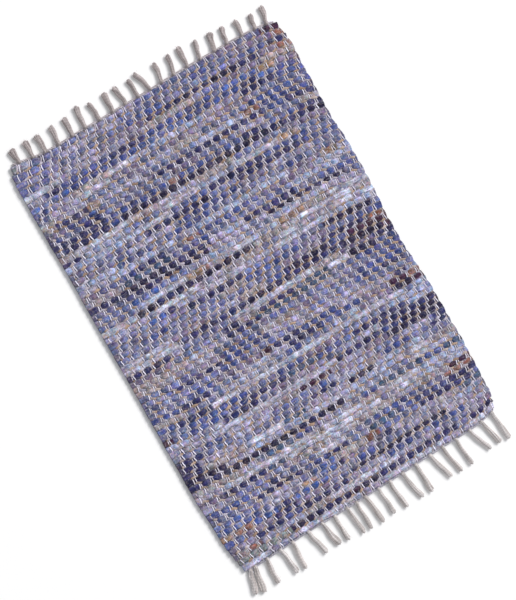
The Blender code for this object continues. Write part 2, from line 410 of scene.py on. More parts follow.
def planWeave():
    # everything about the weave that its strands share, station by station: two stations for each warp end
    rng = np.random.default_rng(weave["seed"])
    rows, ends = weave["ragRows"], weave["warpEnds"]
    leftShare, rightShare = (weave[loops] / rugShape["wovenWidth"] for loops in ("leftLoops", "rightLoops"))
    shares = leftShare + (1 - leftShare - rightShare) * np.arange(1, 2 * ends) / (2 * ends)
    count = len(shares)
    pairPlace = (np.arange(ends)[None, :] + diagonalSteps()[:, None]) % 4
    warpOver = pairPlace < 2
    lift = np.zeros((rows, count))
    lift[:, 0::2] = np.where(warpOver, -1.0, 1.0)
    lift[:, 1::2] = (lift[:, 0:-1:2] + lift[:, 2::2]) * weave["betweenEnds"]
    cloths = [clothsAt(line, shares) for line in ragChart]
    paleness = np.array([colours.mean(axis=1) for colours, _ in cloths])
    start, more = weave["proudPaleness"]
    change, spacing = weave["proudPatches"]
    proud = np.clip((paleness - start) / more + change * softNoise(rng, rows, count, spacing), 0, 1)
    proud = proud * weave["proudStrips"]
    change, spacing = weave["rowUnevenness"]
    weight = np.array([thick for _, thick in cloths]) + change * softNoise(rng, rows, count, spacing)
    bound = np.zeros((rows + 1, count))
    bound[1:-1] = np.arange(1, rows)[:, None] - 0.5 + weight[:-1] / (weight[:-1] + weight[1:])
    bound[-1] = rows
    pitch = rugShape["wovenLength"] / rows
    return {
        "shares": shares,
        # 0 and 1 for the left and right end of a pair over the rag, 2 and 3 under it
        "pairPlace": pairPlace,
        "warpOver": warpOver,
        "crossing": crossingKinds(warpOver),
        "lift": lift,
        "ragLift": lift * (1 - proud) + weave["proudLift"] * proud,
        "cloths": cloths,
        "bound": bound / rows,
        "centre": (bound[1:] + bound[:-1]) / 2 / rows,
        "half": (bound[1:] - bound[:-1]) / 2 * pitch,
        "pitch": pitch,
    }


plan = planWeave()
print("weave planned:", weave["ragRows"], "rag rows over", weave["warpEnds"], "warp ends")


def anglesRound(count):
    return np.arange(count) / count * fullTurn


def ringOf(count, squareness):
    # a unit ring round a strand, squarer as squareness falls below 1
    c, s = np.cos(anglesRound(count)), np.sin(anglesRound(count))
    return np.sign(c) * np.abs(c) ** squareness, np.sign(s) * np.abs(s) ** squareness


def sweepStrand(strand, sides):
    # points of a strand's skin, ring after ring, with its length and girth at each ring
    path = strand["path"]
    along = np.gradient(path, axis=0)
    along /= np.linalg.norm(along, axis=1, keepdims=True)
    side = np.cross((0.0, 0.0, 1.0), along)
    side /= np.linalg.norm(side, axis=1, keepdims=True)
    rise = np.cross(along, side)
    ringX, ringY = ringOf(sides, strand.get("squareness", 1.0))
    lumps = strand.get("lumps", 1.0)
    offX = strand["wide"][:, None] * ringX[None, :] * lumps
    offY = strand["high"][:, None] * ringY[None, :] * lumps
    skin = path[:, None, :] + side[:, None, :] * offX[..., None] + rise[:, None, :] * offY[..., None]
    skin[..., 2] = np.maximum(skin[..., 2], weave["floorSkin"])
    run = np.concatenate([[0.0], np.cumsum(np.linalg.norm(np.diff(path, axis=0), axis=1))])
    girth = math.pi * (strand["wide"] + strand["high"])
    return skin, run, girth


def cornerMap(along, around):
    # map places of all the faces of a strand, from the place of each ring and of each corner round it
    here, after = along[:-1, None], along[1:, None]
    ring, nextRing = around[:-1], around[1:]
    corners = (here, ring[:, :-1]), (here, ring[:, 1:]), (after, nextRing[:, 1:]), (after, nextRing[:, :-1])
    return np.stack([np.stack(np.broadcast_arrays(*corner), -1) for corner in corners], -2).reshape(-1, 2)


bakeBands = {
    "ends": 0.008,               # of the map's width, kept for the caps
    "gap": 0.06,                 # of a band's height, bare at each edge
    "capPlace": 0.0035,
    "capReach": (0.003, 0.4),    # of the map's width, of a band's height
    "capRun": 2 * mm,            # radius of a cap on the map of runs
}


def skinMaps(run, girth, sides, band, bands):
    # a strand's faces in their band on the bake map, and by their run in metres on the other map
    start, gap = bakeBands["ends"], bakeBands["gap"]
    u = start + (1 - 2 * start) * run / run[-1]
    v = (band + gap + (1 - 2 * gap) * np.arange(sides + 1) / sides) / bands
    share = np.arange(sides + 1) / sides
    return cornerMap(u, np.tile(v, (len(u), 1))), cornerMap(run, girth[:, None] * share)


def endCaps(first, last, sides, band, bands):
    # the two faces that close a strand: their vertices and their places on both maps
    turn = np.arange(sides)
    circle = np.stack([np.cos(anglesRound(sides)), np.sin(anglesRound(sides))], -1)
    size = np.array([bakeBands["capReach"][0], bakeBands["capReach"][1] / bands])
    caps, bakes, runs = [], [], []
    for ring, order, place in ((first, -1, bakeBands["capPlace"]), (last, 1, 1 - bakeBands["capPlace"])):
        caps.append((ring + turn)[::order])
        bakes.append((np.array([place, (band + 0.5) / bands]) + size * circle)[::order])
        runs.append((bakeBands["capRun"] * circle)[::order])
    return caps, bakes, runs


def joinStrands(name, strands, sides):
    # one mesh of many closed strands, each with its own band on the bake map
    points, tones, quads, bakeMap, runMap = [], [], [], [], []
    caps, capBake, capRun = [], [], []
    turn = np.arange(sides)
    after = (turn + 1) % sides
    first = 0
    for band, strand in enumerate(strands):
        skin, run, girth = sweepStrand(strand, sides)
        points.append(skin.reshape(-1, 3))
        tone = strand["tone"]
        if tone.ndim == 2:
            tone = np.repeat(tone[:, None, :], sides, axis=1)
        tones.append(tone.reshape(-1, 3))
        last = first + (len(skin) - 1) * sides
        low = np.arange(first, last, sides)[:, None]
        high = low + sides
        quads.append(np.stack([low + turn, low + after, high + after, high + turn], -1).reshape(-1, 4))
        maps = skinMaps(run, girth, sides, band, len(strands))
        bakeMap.append(maps[0])
        runMap.append(maps[1])
        for gathered, found in zip((caps, capBake, capRun), endCaps(first, last, sides, band, len(strands))):
            gathered += found
        first = last + sides
    mesh = smoothMesh(name, np.concatenate(points), np.concatenate(quads), caps)
    paintMesh(mesh, np.concatenate(tones))
    addMap(mesh, "OFBake", np.concatenate(bakeMap + capBake))
    addMap(mesh, "yarnRun", np.concatenate(runMap + capRun))
    mesh.validate()
    return placeMesh(name, mesh)


def smoothMesh(name, points, quads, caps):
    # a smooth mesh from its vertices, its four-sided faces and its end caps
    corners = np.concatenate([quads.ravel(), *caps])
    starts = np.cumsum([0] + [4] * len(quads) + [len(cap) for cap in caps])[:-1]
    mesh = bpy.data.meshes.new(name)
    mesh.vertices.add(len(points))
    mesh.vertices.foreach_set("co", points.astype(np.float32).ravel())
    mesh.loops.add(len(corners))
    mesh.loops.foreach_set("vertex_index", corners.astype(np.int32))
    mesh.polygons.add(len(starts))
    mesh.polygons.foreach_set("loop_start", starts.astype(np.int32))
    mesh.polygons.foreach_set("use_smooth", np.ones(len(starts), bool))
    mesh.update(calc_edges=True)
    return mesh


def paintMesh(mesh, tones):
    layer = mesh.color_attributes.new("tone", "FLOAT_COLOR", "POINT")
    rgba = np.concatenate([tones, np.ones((len(tones), 1))], 1)
    layer.data.foreach_set("color", rgba.astype(np.float32).ravel())


def addMap(mesh, name, spots):
    layer = mesh.uv_layers.new(name=name)
    layer.uv.foreach_set("vector", spots.astype(np.float32).ravel())


def placeMesh(name, mesh):
    made = bpy.data.objects.new(name, mesh)
    bpy.context.scene.collection.objects.link(made)
    return made


def finishPiece(piece, material):
    piece.data.materials.append(material)
    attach(piece, "root")
    return piece


def joinHalves(names, strands, sides, material):
    # two pieces, each with half of the strands
    cut = (len(strands) + 1) // 2
    halves = zip(names, (strands[:cut], strands[cut:]))
    return [finishPiece(joinStrands(name, half, sides), material) for name, half in halves]


def addNode(tree, kind, inputs=None, **settings):
    # a shader node with its settings, its plain values and its links
    node = tree.nodes.new(kind)
    for key, value in settings.items():
        setattr(node, key, value)
    for key, value in (inputs or {}).items():
        if isinstance(value, bpy.types.NodeSocket):
            tree.links.new(value, node.inputs[key])
        else:
            node.inputs[key].default_value = value
    return node


matt = {"sheenRoughness": 0.6, "specular": 0.10}


def startMaterial(name, finish):
    # a matt surface, to which each finish adds its own colour, roughness and bump
    material = bpy.data.materials.new(name)
    material.use_nodes = True
    shader = material.node_tree.nodes["Principled BSDF"]
    shader.inputs["Roughness"].default_value = finish["roughness"]
    shader.inputs["Sheen Weight"].default_value = finish["sheen"]
    shader.inputs["Sheen Roughness"].default_value = matt["sheenRoughness"]
    shader.inputs["Specular IOR Level"].default_value = matt["specular"]
    return material, material.node_tree, shader


def paintedTone(tree):
    # the colour painted on the mesh
    return addNode(tree, "ShaderNodeAttribute", attribute_name="tone").outputs["Color"]


def mixColour(tree, blend, amount, below, above):
    mix = addNode(tree, "ShaderNodeMix", data_type="RGBA", blend_type=blend)
    for socket, value in ((mix.inputs[0], amount), (mix.inputs[6], below), (mix.inputs[7], above)):
        if isinstance(value, bpy.types.NodeSocket):
            tree.links.new(value, socket)
        else:
            socket.default_value = value
    return mix.outputs[2]


def greyRange(tree, value, low, high):
    # spreads a 0 to 1 value over low to high
    return addNode(tree, "ShaderNodeMapRange", {"Value": value, "To Min": low, "To Max": high}).outputs[0]


def shadeBy(tree, colour, value, shades):
    # darkens and lightens a colour between two shades
    return mixColour(tree, "MULTIPLY", 1.0, colour, greyRange(tree, value, *shades))


def finishWith(tree, shader, colour, roughness):
    # links the colour, and a roughness that runs from its least to full with a noise
    noise, least = roughness
    tree.links.new(colour, shader.inputs["Base Color"])
    tree.links.new(greyRange(tree, noise, least, 1.0), shader.inputs["Roughness"])


def runNoise(tree, alongScale, aroundScale, detail):
    # noise stretched along the yarn or strip, so many to a metre along it and around it
    spot = addNode(tree, "ShaderNodeUVMap", uv_map="yarnRun").outputs[0]
    scale = (alongScale, aroundScale, 1)
    place = addNode(tree, "ShaderNodeMapping", {"Vector": spot, "Scale": scale}).outputs[0]
    noise = addNode(tree, "ShaderNodeTexNoise", {"Vector": place, "Scale": 1.0, "Detail": detail})
    return noise.outputs["Fac"]


def solidNoise(tree, scale, detail, roughness=0.5):
    # noise through the whole rug, the same in every direction
    spot = addNode(tree, "ShaderNodeTexCoord").outputs["Object"]
    settings = {"Vector": spot, "Scale": scale, "Detail": detail, "Roughness": roughness}
    return addNode(tree, "ShaderNodeTexNoise", settings).outputs["Fac"]


def twistLines(tree, pitch, slope):
    # 0 to 1 lines that wind round a yarn, one every pitch metres
    spot = addNode(tree, "ShaderNodeUVMap", uv_map="yarnRun").outputs[0]
    parts = addNode(tree, "ShaderNodeSeparateXYZ", {"Vector": spot})
    around = addNode(tree, "ShaderNodeMath", {0: parts.outputs[1], 1: slope}, operation="MULTIPLY")
    total = addNode(tree, "ShaderNodeMath", {0: parts.outputs[0], 1: around.outputs[0]}, operation="ADD")
    turns = addNode(tree, "ShaderNodeMath", {0: total.outputs[0], 1: fullTurn / pitch}, operation="MULTIPLY")
    wave = addNode(tree, "ShaderNodeMath", {0: turns.outputs[0]}, operation="SINE")
    return addNode(tree, "ShaderNodeMapRange", {"Value": wave.outputs[0], "From Min": -1.0}).outputs[0]


def raiseBump(tree, shader, layers):
    # stacks bumps, each a height socket with its depth in metres and its strength
    normal = None
    for height, depth, strength in layers:
        bump = addNode(tree, "ShaderNodeBump", {"Height": height, "Distance": depth, "Strength": strength})
        if normal is not None:
            tree.links.new(normal, bump.inputs["Normal"])
        normal = bump.outputs[0]
    tree.links.new(normal, shader.inputs["Normal"])


ragFinish = {
    "roughness": 0.90,
    "sheen": 0.02,
    "smoothest": 0.78,
    "folds": (40, 320, 3.0),             # to a metre along and around a strip, detail
    # painted shade in the creases and painted light on their ridges
    "foldShades": (-0.25, 2.25),
    "foldBump": (1.1 * mm, 0.8),         # depth, strength
    "grain": (380, 2.0),                 # to a metre, detail
    "grainShades": (0.25, 1.75),
    "weaveLines": (0.9 * mm, 1.0),       # pitch, slope round the strip
    "weaveBump": (0.12 * mm, 0.5),
    # how far each of red, green and blue strays in the mottling, and how many patches to a metre
    "mottle": [((0.16, 0.11, 0.08), 330), ((0.20, 0.11, 0.08), 90)],
    "mottleDetail": 1.5,
    "mottleSpread": (0.3, 0.7),          # of the noise, from the least to the most of the straying
    # flecks: colour, how many to a metre, where in the noise they start, most of them
    "specks": [
        ((0.33, 0.245, 0.205), 190, 0.56, 0.75),
        ((0.56, 0.53, 0.60), 270, 0.58, 0.70),
        ((0.10, 0.105, 0.24), 310, 0.60, 0.75),
    ],
    "speckEdge": 0.10,                   # how softly a fleck starts
    "speckCloths": (0.03, 0.30, 0.20),   # darkest cloth, cloth with all its flecks, share on the darkest
}


def speckle(tree, colour, lightness, spot):
    # soft specks of another colour, stronger on pale cloth
    speckColour, scale, start, most = spot
    noise = solidNoise(tree, scale, 1.0)
    grown = {"Value": noise, "From Min": start, "From Max": start + ragFinish["speckEdge"], "To Max": most}
    amount = addNode(tree, "ShaderNodeMapRange", grown).outputs[0]
    amount = addNode(tree, "ShaderNodeMath", {0: amount, 1: lightness}, operation="MULTIPLY").outputs[0]
    return mixColour(tree, "MIX", amount, colour, (*speckColour, 1))


def mottleColour(tree, colour, strays, scale):
    # patches where red, green and blue each stray a little, like cloths of several dyes torn together
    spot = addNode(tree, "ShaderNodeTexCoord").outputs["Object"]
    settings = {"Vector": spot, "Scale": scale, "Detail": ragFinish["mottleDetail"]}
    noise = addNode(tree, "ShaderNodeTexNoise", settings)
    least, most = tuple(1 - v for v in strays), tuple(1 + v for v in strays)
    low, high = ((v, v, v) for v in ragFinish["mottleSpread"])
    spread = {6: noise.outputs["Color"], 7: low, 8: high, 9: least, 10: most}
    stray = addNode(tree, "ShaderNodeMapRange", spread, data_type="FLOAT_VECTOR").outputs[1]
    return mixColour(tree, "MULTIPLY", 1.0, colour, stray)


def makeRagCloth():
    # torn cotton and denim: creases along the strip with painted shade and light, a fine grain, faded patches
    # and flecks of other cloth
    material, tree, shader = startMaterial("rag_cloth", ragFinish)
    tone = paintedTone(tree)
    folds = runNoise(tree, *ragFinish["folds"])
    # painted shade in the creases and painted light on their ridges
    colour = shadeBy(tree, tone, folds, ragFinish["foldShades"])
    colour = shadeBy(tree, colour, solidNoise(tree, *ragFinish["grain"]), ragFinish["grainShades"])
    for strays, scale in ragFinish["mottle"]:
        colour = mottleColour(tree, colour, strays, scale)
    grey = addNode(tree, "ShaderNodeRGBToBW", {"Color": tone}).outputs[0]
    darkest, full, least = ragFinish["speckCloths"]
    paleness = {"Value": grey, "From Min": darkest, "From Max": full, "To Min": least}
    lightness = addNode(tree, "ShaderNodeMapRange", paleness).outputs[0]
    for spot in ragFinish["specks"]:
        colour = speckle(tree, colour, lightness, spot)
    finishWith(tree, shader, colour, (folds, ragFinish["smoothest"]))
    lines = twistLines(tree, *ragFinish["weaveLines"])
    raiseBump(tree, shader, [(folds, *ragFinish["foldBump"]), (lines, *ragFinish["weaveBump"])])
    return material


# Two-ply undyed cotton: winding grooves with painted shade in them, fuzz and a little soiling.
cottonFinish = {
    "roughness": 0.92,
    "sheen": 0.15,
    "smoothest": 0.84,
    "twist": (2.6 * mm, 1.1),         # length of a turn, slope round the yarn
    "twistShades": (0.82, 1.05),
    "twistBump": (0.35 * mm, 0.7),    # depth, strength
    "fibres": (900, 2600, 2.0),       # to a metre along and around the yarn, detail
    "fibreBump": (0.1 * mm, 0.4),
    "soiling": (240, 3.0),            # patches to a metre, detail
    "patchShades": (0.80, 1.14),
}

# Thin tan yarn with painted shade in its grooves and coarse fibres, which are dark and light themselves.
juteFinish = {
    "roughness": 0.95,
    "sheen": 0.05,
    "smoothest": 0.86,
    "twist": (3.4 * mm, 0.9),
    "twistShades": (0.72, 1.1),
    "twistBump": (0.4 * mm, 0.7),
    "fibres": (260, 3200, 3.0),
    "fibreBump": (0.15 * mm, 0.5),
    "patchShades": (0.70, 1.32),
}

# Soft slack-twisted cotton, with painted shade between its fibres.
tasselFinish = {
    "roughness": 0.94,
    "sheen": 0.15,
    "smoothest": 0.86,
    "twist": (5.5 * mm, 0.8),
    "twistShades": (0.88, 1.04),
    "twistBump": (0.5 * mm, 0.5),
    "fibres": (150, 2400, 4.0),
    "fibreBump": (0.35 * mm, 0.8),
    "patchShades": (0.66, 1.30),
}


def makeYarn(name, finish):
    # twisted yarn, with painted shade in its grooves, then shaded by its soiling or its own fibres
    material, tree, shader = startMaterial(name, finish)
    twist = twistLines(tree, *finish["twist"])
    fibres = runNoise(tree, *finish["fibres"])
    soilingAndFibreShade = solidNoise(tree, *finish["soiling"]) if "soiling" in finish else fibres
    # painted shade in the winding grooves
    colour = shadeBy(tree, paintedTone(tree), twist, finish["twistShades"])
    # the cotton's soiling, the jute fibres' own tone, or on the tassels painted shade between the fibres
    colour = shadeBy(tree, colour, soilingAndFibreShade, finish["patchShades"])
    finishWith(tree, shader, colour, (fibres, finish["smoothest"]))
    raiseBump(tree, shader, [(twist, *finish["twistBump"]), (fibres, *finish["fibreBump"])])
    return material


groundFinish = {
    "roughness": 0.96,
    "sheen": 0.0,
    "smoothest": 0.9,
    "grain": (700, 3.0, 0.6),      # to a metre, detail, how strong the fine detail is
    "grainShades": (0.6, 1.4),
    "grainBump": (0.5 * mm, 0.7),
    "shade": 0.42,                 # painted shade: share of the rags' own colour kept, dark as the shade deep between the strands
    "inset": 3.0 * mm,
    "thickness": 0.8 * mm,
    "height": 3.0 * mm,            # of its middle above the floor
    "cellsAcross": 64,
    # on the bake map: left edge and width of the upper face's half, then bottom edge and height of both
    "faceMap": (0.01, 0.48, 0.02, 0.96),
    "rimMap": (0.003, 0.007),      # bottom and top edge of the rim's strip
}


def makeGroundCloth():
    # the imported middle of the weave, seen only between the strands and coloured dark as painted shade
    material, tree, shader = startMaterial("packed_weave_painted_shade", groundFinish)
    grain = solidNoise(tree, *groundFinish["grain"])
    colour = shadeBy(tree, paintedTone(tree), grain, groundFinish["grainShades"])
    finishWith(tree, shader, colour, (grain, groundFinish["smoothest"]))
    raiseBump(tree, shader, [(grain, *groundFinish["grainBump"])])
    return material


def groundFaces(rows, columns):
    # the upper and lower faces and the rim of the closed sheet, with their places on the bake map
    left, width, bottom, height = groundFinish["faceMap"]
    low, high = groundFinish["rimMap"]
    below = rows * columns
    faces, spots = [], []

    def spot(index, layer):
        row, column = divmod(index, columns)
        return (left + width * column / (columns - 1) + 0.5 * layer, bottom + height * row / (rows - 1))

    for row in range(rows - 1):
        for column in range(columns - 1):
            a = row * columns + column
            upper = (a, a + columns, a + columns + 1, a + 1)
            lower = upper[::-1]
            faces += [upper, tuple(i + below for i in lower)]
            spots += [spot(i, 0) for i in upper] + [spot(i, 1) for i in lower]
    rim = (
        [row * columns for row in range(rows)]
        + [(rows - 1) * columns + c for c in range(1, columns)]
        + [row * columns + columns - 1 for row in range(rows - 2, -1, -1)]
        + list(range(columns - 2, 0, -1))
    )
    for i, here in enumerate(rim):
        after = rim[(i + 1) % len(rim)]
        faces.append((here, here + below, after + below, after))
        u, v = i / len(rim), (i + 1) / len(rim)
        spots += [(u, low), (u, high), (v, high), (v, low)]
    return faces, spots


def weaveGround(material):
    # one thin closed sheet in the rug's outline, at the middle of its thickness
    across, down = np.meshgrid(
        np.linspace(0, 1, groundFinish["cellsAcross"] + 1), np.arange(weave["ragRows"] + 1) / weave["ragRows"]
    )
    x, y = clothPoint(across, down)
    x = x.mean() + (x - x.mean()) * (1 - 2 * groundFinish["inset"] / rugShape["wovenWidth"])
    y = y.mean() + (y - y.mean()) * (1 - 2 * groundFinish["inset"] / rugShape["wovenLength"])
    stations = np.clip((across * len(plan["shares"])).astype(int), 0, len(plan["shares"]) - 1)
    colours = np.array([colours for colours, _ in plan["cloths"]])
    nearestRow = np.minimum(np.arange(len(x)), weave["ragRows"] - 1)[:, None]
    # the rags' colours darkened as painted shade
    tones = (colours[nearestRow, stations] * groundFinish["shade"]).reshape(-1, 3)
    points = []
    for side in (1, -1):
        z = groundFinish["height"] + side * groundFinish["thickness"] / 2
        points.append(np.stack([x, y, np.full_like(x, z)], -1).reshape(-1, 3))
    faces, spots = groundFaces(*x.shape)
    mesh = bpy.data.meshes.new("weave_ground")
    mesh.from_pydata(np.concatenate(points).tolist(), [], faces)
    paintMesh(mesh, np.concatenate([tones, tones]))
    addMap(mesh, "OFBake", np.array(spots))
    return finishPiece(placeMesh("weave_ground", mesh), material)


ragStrips = {
    "seed": 7,
    "sides": 10,
    "squareness": 0.64,
    "packing": 1.04,                    # of the room between two tan picks
    "overPuff": 0.05,                   # how much wider a strip is where it lies over the warp
    "overRise": 0.08,                   # and how much higher
    "strayRun": 6,                      # stations to a stray, sideways, up or down and in height
    "wander": 0.75 * mm,
    "bob": 0.4 * mm,
    "heightChange": 0.10,
    "widthChange": (0.10, 2.4),         # how much, and the stations to a change
    "thinHeight": 0.5,                  # share of the height that does not thin with the strip
    "lobes": [(2, 0.07), (3, 0.07), (5, 0.05)],   # folds round the strip and how deep each is
    "lobeDrift": (3.0, 5),              # how far the folds turn round it, and the stations to a turn
    "blockShade": (0.28, 3.0),          # from one block of a strip to the next, and the stations to a block
    "foldShade": (0.42, 7),             # painted shade and light of its folds: how much they differ, and the stations to a fold
    "paintedSideShade": (0.25, 3),                # painted shade along its sides, for the shadow in the grooves between rows, and how narrow it is
    "pale": (0.35, 0.10),               # a cloth this pale shows all its specks, and the least of them
    "tornSide": (0.80, 2.2),            # how far frayed sides lose the cloth's colour, how narrow they are
    "tornEdge": (0.5, 2.7),             # unevenness of the frays, and the stations to a fray
    "tornBase": (0.25, 0.245, 0.36),
    "tornDark": 0.35,                   # shade of the frays of the darkest cloth
    # what shows in the frays at a strip's sides: colour and most of it
    "tornMix": [((0.40, 0.245, 0.165), 0.85), ((0.64, 0.60, 0.72), 0.75), ((0.060, 0.065, 0.21), 0.75)],
    "tornPatches": (2.3, 1.8, 0.35),    # stations to a patch, sharpness, how much stays bare
    # mottling: colour, most of it on a pale strip
    "specks": [((0.30, 0.205, 0.165), 0.50), ((0.50, 0.49, 0.57), 0.40), ((0.07, 0.08, 0.26), 0.60)],
    "speckPatches": (2.6, 1.6, 0.45),   # stations to a patch, sharpness, how much stays bare
    "dipShadeAndDust": (0.55, (0.030, 0.022, 0.020)),     # painted shade, with a little dust, where a strip dips under a warp pair: the shade and the dust's colour
    # share of an end's reach, share of its width
    "endShape": [(0.35, 1.0), (0.70, 1.0), (0.90, 1.0), (0.98, 0.96), (1.0, 0.86)],
    "endHeight": 0.35,                  # share of the height that does not shrink with the end
    "endFill": 1.06,                    # width of an end against its row
    "endReach": (0.9 * mm, 0.0),        # past the outline, at the left and right selvedge
    "endLeast": 2 * mm,
    "endUnevenness": (0.25 * mm, 0.5 * mm),
    "endWave": (2.4, 1.7),              # how fast that changes from turn to turn, and between the selvedges
    "endTurn": (0.1 * mm, 0.45 * mm),   # how far an end leans to the row it turns back into
    "calmEnds": 5,                      # stations over which a strip settles at each selvedge
    "calmRise": 0.3,                    # share of its rise and fall that is left there
}


def stripLumps(free, rng):
    # folds round a strip at each station, dying out towards its two ends
    angle = anglesRound(ragStrips["sides"])
    lumps = np.zeros((len(free), len(angle)))
    turn, spacing = ragStrips["lobeDrift"]
    for folds, depth in ragStrips["lobes"]:
        drift = turn * softNoise(rng, 1, len(free), spacing)[0]
        lumps += depth * np.cos(folds * angle[None, :] + drift[:, None] + rng.uniform(0, fullTurn))
    return 1 + lumps * free[:, None]


def holdEnds(values, extra):
    # a strip's values, with its first and last held over the stations of its two ends
    return np.concatenate([np.repeat(values[:1], extra, 0), values, np.repeat(values[-1:], extra, 0)])


def ragRow(row, rng):
    # one strip of rags from selvedge to selvedge, with half of the turn to its neighbour at each side
    shares, lift = plan["shares"], plan["ragLift"][row]
    count = len(shares)
    fromEnd = np.minimum(np.arange(count), count - 1 - np.arange(count))
    free = np.minimum(fromEnd / ragStrips["calmEnds"], 1)
    across, down = settled(shares, plan["centre"][row])
    x, y = clothPoint(across, down)
    noise = softNoise(rng, 9, count, ragStrips["strayRun"])      # spare rows keep the later draws in place
    y = y + noise[0] * ragStrips["wander"] * free
    calm = ragStrips["calmRise"]
    z = weave["middleHeight"] + weave["ragLift"] * lift * (calm + (1 - calm) * free)
    z = z + ragStrips["bob"] * noise[1] * free
    upper, lower = (settled(shares, plan["bound"][row + i])[1] for i in (0, 1))
    room = (lower - upper) / 2 * rugShape["wovenLength"]
    half = (room - weave["tanRoom"]) * ragStrips["packing"]
    change, spacing = ragStrips["widthChange"]
    wide = half * (1 + ragStrips["overPuff"] * lift + change * softNoise(rng, 1, count, spacing)[0] * free)
    wide = wide * free + room * ragStrips["endFill"] * (1 - free)
    whole = ragStrips["thinHeight"]
    high = weave["ragHalfHeight"] * (1 + ragStrips["overRise"] * lift + ragStrips["heightChange"] * noise[3])
    high = high * (whole + (1 - whole) * plan["cloths"][row][1])
    lumps = stripLumps(free, rng)
    tone = ragTones(row, lift, rng)
    path = np.stack([x, y, z], 1)
    facing = 1 if row % 2 == 0 else -1
    left = stripEnd(path[0], down[0], row, 0, facing)
    right = stripEnd(path[-1], down[-1], row, 1, -facing)
    shape = np.array(ragStrips["endShape"])[:, 1]
    whole = ragStrips["endHeight"]
    heights = weave["ragHalfHeight"] * (whole + (1 - whole) * shape)
    return {
        "path": np.concatenate([left[::-1], path, right]),
        "wide": np.concatenate([wide[0] * shape[::-1], wide, wide[-1] * shape]),
        "high": np.concatenate([heights[::-1], high, heights]),
        "lumps": holdEnds(lumps, len(shape)),
        "tone": holdEnds(tone, len(shape)),
        "squareness": ragStrips["squareness"],
    }


def ragTones(row, lift, rng):
    # colours round a strip at each station: mottled along its length, with painted shade where it dips under
    # the warp, painted shade and light of its folds, frayed, and painted shade along its sides
    count, sides = len(lift), ragStrips["sides"]
    tone = plan["cloths"][row][0].copy()
    full, least = ragStrips["pale"]
    paleness = np.clip(tone.mean(axis=1) / full, least, 1)
    for colour, most in ragStrips["specks"]:
        amount = patches(rng, 1, count, ragStrips["speckPatches"])[0] * most * paleness
        tone = tone * (1 - amount[:, None]) + amount[:, None] * np.array(colour)
    change, spacing = ragStrips["blockShade"]
    tone *= 1 + change * softNoise(rng, 1, count, spacing)[0][:, None]
    # painted shade, with a little dust, where the strip dips under a warp pair
    shade, dust = ragStrips["dipShadeAndDust"]
    dipped = np.clip(-lift, 0, 1)[:, None]
    tone = tone * (1 - dipped * (1 - shade)) + dipped * np.array(dust)
    sideways = np.abs(np.cos(anglesRound(sides)))
    # painted shade and light of the strip's folds
    change, spacing = ragStrips["foldShade"]
    around = 1 + change * softNoise(rng, sides, count, spacing).T
    # painted shade along the strip's sides, for the shadow in the grooves between rows
    shade, narrow = ragStrips["paintedSideShade"]
    around *= 1 - shade * sideways**narrow
    torn = np.array(ragStrips["tornBase"]) * np.ones((count, sides, 3))
    for colour, most in ragStrips["tornMix"]:
        amount = patches(rng, sides, count, ragStrips["tornPatches"]).T[..., None] * most
        torn = torn * (1 - amount) + amount * np.array(colour)
    dark = ragStrips["tornDark"]
    torn *= (dark + (1 - dark) * paleness)[:, None, None]
    most, narrow = ragStrips["tornSide"]
    change, spacing = ragStrips["tornEdge"]
    share = sideways**narrow * most * (1 + change * softNoise(rng, sides, count, spacing).T)
    share = np.clip(share, 0, 1)[..., None]
    return (tone[:, None, :] * (1 - share) + torn * share) * around[..., None]


def stripEnd(end, down, row, side, upward):
    # the last of a strip outside the warp, blunt at the selvedge, where it turns into the next row
    outward = 2 * side - 1
    edge = float(clothPoint(float(side), min(max(down, 0.0), 1.0))[0])
    loop = (row + 1) // 2 if upward > 0 else row // 2
    eachTurn, otherSide = ragStrips["endWave"]
    uneven = math.sin(eachTurn * loop + otherSide * side) * ragStrips["endUnevenness"][side]
    reach = max(abs(edge - end[0]) + ragStrips["endReach"][side] + uneven, ragStrips["endLeast"])
    along = np.array(ragStrips["endShape"])[:, 0]
    x = end[0] + outward * reach * along
    y = end[1] + upward * ragStrips["endTurn"][side] * along**2
    return np.stack([x, y, end[2] + (weave["middleHeight"] - end[2]) * along], 1)


def weaveRags(material):
    rng = np.random.default_rng(ragStrips["seed"])
    strips = [ragRow(row, rng) for row in range(weave["ragRows"])]
    return joinHalves(("rag_rows_upper", "rag_rows_lower"), strips, ragStrips["sides"], material)


tanPicks = {
    "seed": 13,
    "sides": 6,
    "warm": [(0.45, 0.315, 0.235), (0.365, 0.245, 0.18), (0.43, 0.33, 0.275), (0.51, 0.41, 0.375)],
    "cool": [(0.46, 0.41, 0.47), (0.32, 0.30, 0.38), (0.40, 0.33, 0.33), (0.55, 0.51, 0.60)],
    "warmShare": 0.50,      # of all the picks
    # where more of them are warm: share across, share down, reach across, reach down, how many more
    "warmPlaces": [
        (0.78, 0.07, 0.32, 0.08, 0.45),
        (0.62, 0.50, 0.18, 0.06, 0.40),
        (0.96, 0.57, 0.12, 0.06, 0.40),
        (0.55, 0.68, 0.12, 0.04, 0.30),
        (0.45, 0.72, 0.14, 0.04, -0.40),
        (0.20, 0.34, 0.14, 0.05, -0.35),
    ],
    "halfWidth": 2.35 * mm,
    "halfHeight": 1.15 * mm,
    "lift": 1.75 * mm,
    "rise": 0.55 * mm,      # of its floats over the middle, besides the lift
    "slant": 0.08,          # of a row, across each float
    "run": 4,               # warp ends before its colour changes
    "strayRun": 4,          # warp ends to a stray
    "wander": 0.5 * mm,
    "bob": 0.35 * mm,
    "swell": 0.30,          # how much thicker and thinner it is
    "shadeChange": 0.2,
}


